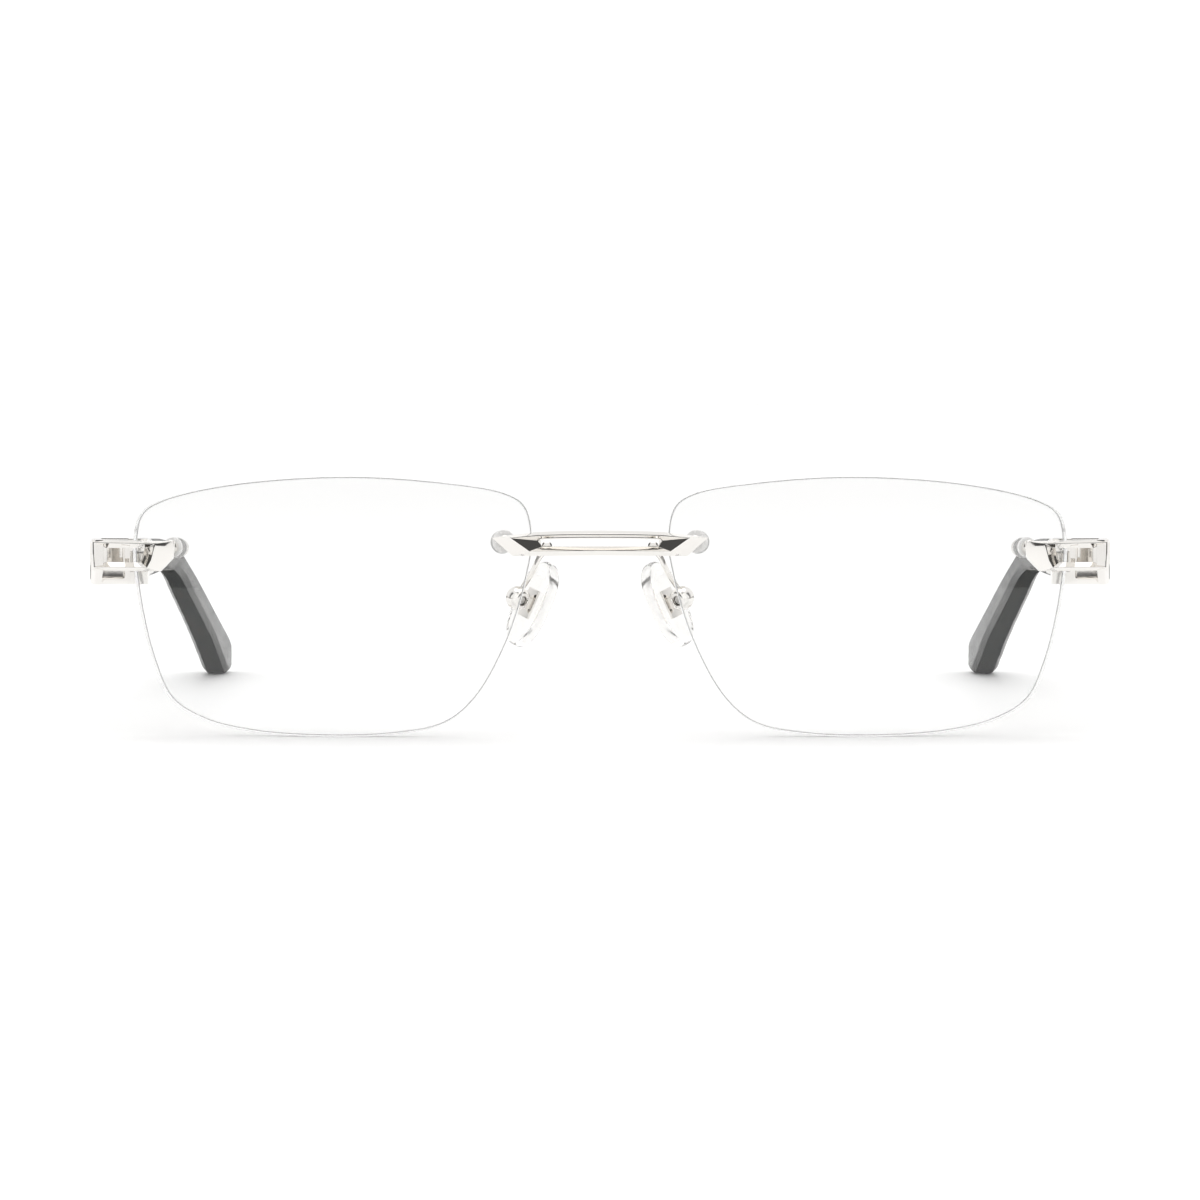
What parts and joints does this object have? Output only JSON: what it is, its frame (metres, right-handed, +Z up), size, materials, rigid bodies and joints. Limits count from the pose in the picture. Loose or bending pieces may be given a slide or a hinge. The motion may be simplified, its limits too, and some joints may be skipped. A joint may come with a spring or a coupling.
{
  "type": "rimless eyeglasses",
  "caption": "Rimless eyeglasses with clear wrapped lenses, an open faceted metal bridge, windowed endpieces, adjustable nose pads and folding metal and black horn temples.",
  "frame": {"origin": "middle of the footprint's bounding box on the table that the lenses' lower edges and the temple tips stand on", "axes": "+X to the wearer's left, +Y from the front towards the temple tips, +Z up"},
  "size_m": [0.1426, 0.1542, 0.036],
  "materials": {
    "polished_silver": "mirror-polished silver-coloured metal",
    "clear_lens": "clear polished optical plastic with a satin ground edge",
    "clear_nylon": "clear nylon",
    "clear_silicone": "clear soft silicone",
    "black_horn": "polished near-black horn"
  },
  "bodies": {
    "front": {"bridge": "polished_silver", "lens_left": "clear_lens", "nose_bushing_left": "clear_nylon", "nose_washer_left": "clear_nylon", "nose_nut_left": "polished_silver", "outer_bushing_left": "clear_nylon", "outer_washer_left": "clear_nylon", "outer_nut_left": "polished_silver", "endpiece_left": "polished_silver", "hinge_screw_left": "polished_silver", "lower_hinge_washer_left": "clear_nylon", "upper_hinge_washer_left": "clear_nylon", "pad_arm_left": "polished_silver", "pad_box_left": "polished_silver", "pad_screw_left": "polished_silver", "lens_right": "clear_lens", "nose_bushing_right": "clear_nylon", "nose_washer_right": "clear_nylon", "nose_nut_right": "polished_silver", "outer_bushing_right": "clear_nylon", "outer_washer_right": "clear_nylon", "outer_nut_right": "polished_silver", "endpiece_right": "polished_silver", "hinge_screw_right": "polished_silver", "lower_hinge_washer_right": "clear_nylon", "upper_hinge_washer_right": "clear_nylon", "pad_arm_right": "polished_silver", "pad_box_right": "polished_silver", "pad_screw_right": "polished_silver"},
    "temple_left": {"temple_ferrule_left": "polished_silver", "temple_horn_left": "black_horn", "front_rivet_left": "polished_silver", "rear_rivet_left": "polished_silver"},
    "pad_left": {"nose_pad_left": "clear_silicone", "pad_insert_left": "polished_silver"},
    "temple_right": {"temple_ferrule_right": "polished_silver", "temple_horn_right": "black_horn", "front_rivet_right": "polished_silver", "rear_rivet_right": "polished_silver"},
    "pad_right": {"nose_pad_right": "clear_silicone", "pad_insert_right": "polished_silver"}
  },
  "joints": [
    {"name": "left_temple_hinge", "type": "hinge", "parent": "front", "child": "temple_left", "pos_m": [0.0641, -0.0607, 0.0239], "axis": [0, 0, 1], "range_deg": [0, 88]},
    {"name": "right_temple_hinge", "type": "hinge", "parent": "front", "child": "temple_right", "pos_m": [-0.0641, -0.0607, 0.0239], "axis": [0, 0, -1], "range_deg": [0, 82]},
    {"name": "left_pad_rock", "type": "hinge", "parent": "front", "child": "pad_left", "pos_m": [0.01143, -0.06727, 0.01891], "axis": [0.537, 0.809, 0.2391], "range_deg": [-10, 10]},
    {"name": "right_pad_rock", "type": "hinge", "parent": "front", "child": "pad_right", "pos_m": [-0.01143, -0.06727, 0.01891], "axis": [-0.537, 0.809, 0.2391], "range_deg": [-10, 10]}
  ]
}
